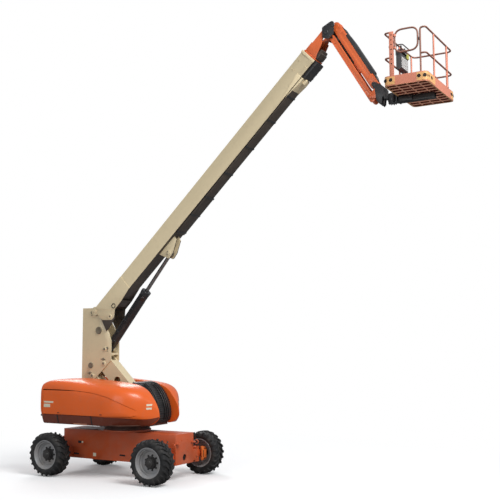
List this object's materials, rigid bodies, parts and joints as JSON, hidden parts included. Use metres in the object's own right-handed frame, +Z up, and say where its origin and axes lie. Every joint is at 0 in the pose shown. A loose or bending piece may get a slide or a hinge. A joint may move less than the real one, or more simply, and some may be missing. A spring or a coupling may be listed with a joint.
{
  "type": "telescopic boom lift with jib",
  "caption": "Self-propelled work platform: swinging turntable, link-raised tower, telescopic boom, parallel jib and railed platform on rubber tyres.",
  "frame": {"origin": "on the ground, under the middle of the machine outline as it stands with its boom raised; the slew axis is 3.002 m behind it", "axes": "+X the way the boom leans and the machine drives, +Y to the machine left, +Z up"},
  "size_m": [10.0848, 2.49, 10.2617],
  "materials": {
    "orange_paint": "gloss",
    "axle_paint": "satin",
    "cream_paint": "gloss",
    "black_paint": "satin",
    "bare_steel": "satin",
    "counterweight_paint": "satin",
    "engine_metal": "satin",
    "hood_orange": "gloss",
    "chrome": "polished",
    "console_plastic": "satin",
    "tyre_rubber": "matte",
    "rim_grey": "satin",
    "hub_black": "satin"
  },
  "bodies": {
    "chassis": {"chassis_frame": "orange_paint", "front_axle": "axle_paint", "rear_axle": "axle_paint", "slew_ring": "black_paint"},
    "steer_left": {"knuckle_left": "axle_paint"},
    "steer_right": {"knuckle_right": "axle_paint"},
    "tie_rod": {"tie_rod": "bare_steel"},
    "wheel_front_left": {"tyre_front_left": "tyre_rubber", "rim_front_left": "rim_grey", "hub_front_left": "hub_black"},
    "wheel_front_right": {"tyre_front_right": "tyre_rubber", "rim_front_right": "rim_grey", "hub_front_right": "hub_black"},
    "wheel_rear_left": {"tyre_rear_left": "tyre_rubber", "rim_rear_left": "rim_grey", "hub_rear_left": "hub_black"},
    "wheel_rear_right": {"tyre_rear_right": "tyre_rubber", "rim_rear_right": "rim_grey", "hub_rear_right": "hub_black"},
    "turntable": {"turntable_deck": "black_paint", "counterweight": "counterweight_paint", "engine": "engine_metal", "hood_left": "hood_orange", "hood_right": "hood_orange"},
    "door_left": {"door_left": "hood_orange"},
    "door_right": {"door_right": "hood_orange"},
    "link": {"lift_link": "cream_paint"},
    "timing": {"timing_link": "cream_paint"},
    "tower": {"upright": "cream_paint"},
    "cylinder": {"lift_barrel": "black_paint"},
    "rod": {"lift_rod": "chrome"},
    "boom": {"boom_base": "cream_paint", "hose_tray": "black_paint", "tip_guard": "black_paint"},
    "mid": {"boom_mid": "orange_paint"},
    "fly": {"boom_fly": "orange_paint"},
    "nose": {"jib_knuckle": "black_paint"},
    "jib": {"jib_arm": "orange_paint"},
    "jib_lower": {"jib_link_left": "orange_paint", "jib_link_right": "orange_paint"},
    "head": {"jib_head": "black_paint"},
    "platform": {"platform_support": "black_paint", "platform_floor": "orange_paint", "platform_rails": "orange_paint", "control_console": "console_plastic"},
    "gate": {"platform_gate": "orange_paint"}
  },
  "joints": [
    {"name": "steer", "type": "hinge", "parent": "chassis", "child": "steer_right", "pos_m": [-1.4774, -0.735, 0.515], "axis": [0, 0, 1], "range_deg": [-32, 32]},
    {"name": "steer_left", "type": "hinge", "parent": "chassis", "child": "steer_left", "pos_m": [-1.4774, 0.735, 0.515], "axis": [0, 0, 1], "range_deg": [-32, 32]},
    {"name": "tie_rod_turn", "type": "hinge", "parent": "steer_right", "child": "tie_rod", "pos_m": [-1.6874, -0.735, 0.515], "axis": [0, 0, 1], "range_deg": [-32, 32]},
    {"name": "roll_front_left", "type": "hinge", "parent": "steer_left", "child": "wheel_front_left", "pos_m": [-1.4774, 1.05, 0.515], "axis": [0, 1, 0], "continuous": true},
    {"name": "roll_front_right", "type": "hinge", "parent": "steer_right", "child": "wheel_front_right", "pos_m": [-1.4774, -1.05, 0.515], "axis": [0, 1, 0], "continuous": true},
    {"name": "roll_rear_left", "type": "hinge", "parent": "chassis", "child": "wheel_rear_left", "pos_m": [-4.5274, 1.05, 0.515], "axis": [0, 1, 0], "continuous": true},
    {"name": "roll_rear_right", "type": "hinge", "parent": "chassis", "child": "wheel_rear_right", "pos_m": [-4.5274, -1.05, 0.515], "axis": [0, 1, 0], "continuous": true},
    {"name": "swing", "type": "hinge", "parent": "chassis", "child": "turntable", "pos_m": [-3.0024, 0, 1.102], "axis": [0, 0, 1], "continuous": true},
    {"name": "hood_door_left", "type": "hinge", "parent": "turntable", "child": "door_left", "pos_m": [-3.3024, 1.178, 2.069], "axis": [1, 0, 0], "range_deg": [0, 70]},
    {"name": "hood_door_right", "type": "hinge", "parent": "turntable", "child": "door_right", "pos_m": [-3.3024, -1.178, 2.069], "axis": [-1, 0, 0], "range_deg": [0, 70]},
    {"name": "tower_lift", "type": "hinge", "parent": "turntable", "child": "link", "pos_m": [-2.67859, 0, 1.77492], "axis": [0, 1, 0], "range_deg": [-42.4, 0]},
    {"name": "timing_turn", "type": "hinge", "parent": "turntable", "child": "timing", "pos_m": [-3.04059, 0, 1.46992], "axis": [0, 1, 0], "range_deg": [-42.4, 0]},
    {"name": "tower_level", "type": "hinge", "parent": "link", "child": "tower", "pos_m": [-3.6304, 0, 2.675], "axis": [0, 1, 0], "range_deg": [0, 42.4]},
    {"name": "boom_lift", "type": "hinge", "parent": "tower", "child": "boom", "pos_m": [-3.8984, 0, 3.974], "axis": [0, -1, 0], "range_deg": [-46, 28]},
    {"name": "cylinder_turn", "type": "hinge", "parent": "tower", "child": "cylinder", "pos_m": [-3.6024, 0, 3.03], "axis": [0, -1, 0], "range_deg": [-38.69, 23.57]},
    {"name": "cylinder_stroke", "type": "slide", "parent": "cylinder", "child": "rod", "axis": [0.6271, 0, 0.7789], "range_m": [-0.8681, 0.5288]},
    {"name": "boom_extend", "type": "slide", "parent": "boom", "child": "mid", "axis": [0.7193, 0, 0.6947], "range_m": [0, 5.9]},
    {"name": "fly_extend", "type": "slide", "parent": "mid", "child": "fly", "axis": [0.7193, 0, 0.6947], "range_m": [0, 5.9]},
    {"name": "jib_level", "type": "hinge", "parent": "fly", "child": "nose", "pos_m": [2.52284, 0, 10.0359], "axis": [0, -1, 0], "range_deg": [-28, 46]},
    {"name": "jib_lift", "type": "hinge", "parent": "nose", "child": "jib", "pos_m": [2.72484, 0, 10.1639], "axis": [0, -1, 0], "range_deg": [-1, 134]},
    {"name": "jib_lower_turn", "type": "hinge", "parent": "nose", "child": "jib_lower", "pos_m": [2.63684, 0, 9.9119], "axis": [0, -1, 0], "range_deg": [-1, 134]},
    {"name": "head_level", "type": "hinge", "parent": "jib", "child": "head", "pos_m": [3.6004, 0, 8.70672], "axis": [0, -1, 0], "range_deg": [-134, 1]},
    {"name": "platform_turn", "type": "hinge", "parent": "head", "child": "platform", "pos_m": [3.9874, 0, 8.28971], "axis": [0, 0, 1], "range_deg": [-90, 90]},
    {"name": "gate_swing", "type": "hinge", "parent": "platform", "child": "gate", "pos_m": [4.3724, -0.894, 9.11671], "axis": [0, 0, 1], "range_deg": [0, 90]}
  ],
  "couplings": [
    {"joint": "steer_left", "follows": "steer", "ratio": 1},
    {"joint": "tie_rod_turn", "follows": "steer", "ratio": -1},
    {"joint": "timing_turn", "follows": "tower_lift", "ratio": 1},
    {"joint": "tower_level", "follows": "tower_lift", "ratio": -1},
    {"joint": "cylinder_turn", "follows": "boom_lift", "ratio": 0.84},
    {"joint": "cylinder_stroke", "follows": "boom_lift", "m_per_rad": 1.08},
    {"joint": "jib_level", "follows": "boom_lift", "ratio": -1},
    {"joint": "fly_extend", "follows": "boom_extend", "ratio": 1},
    {"joint": "jib_lower_turn", "follows": "jib_lift", "ratio": 1},
    {"joint": "head_level", "follows": "jib_lift", "ratio": -1}
  ]
}
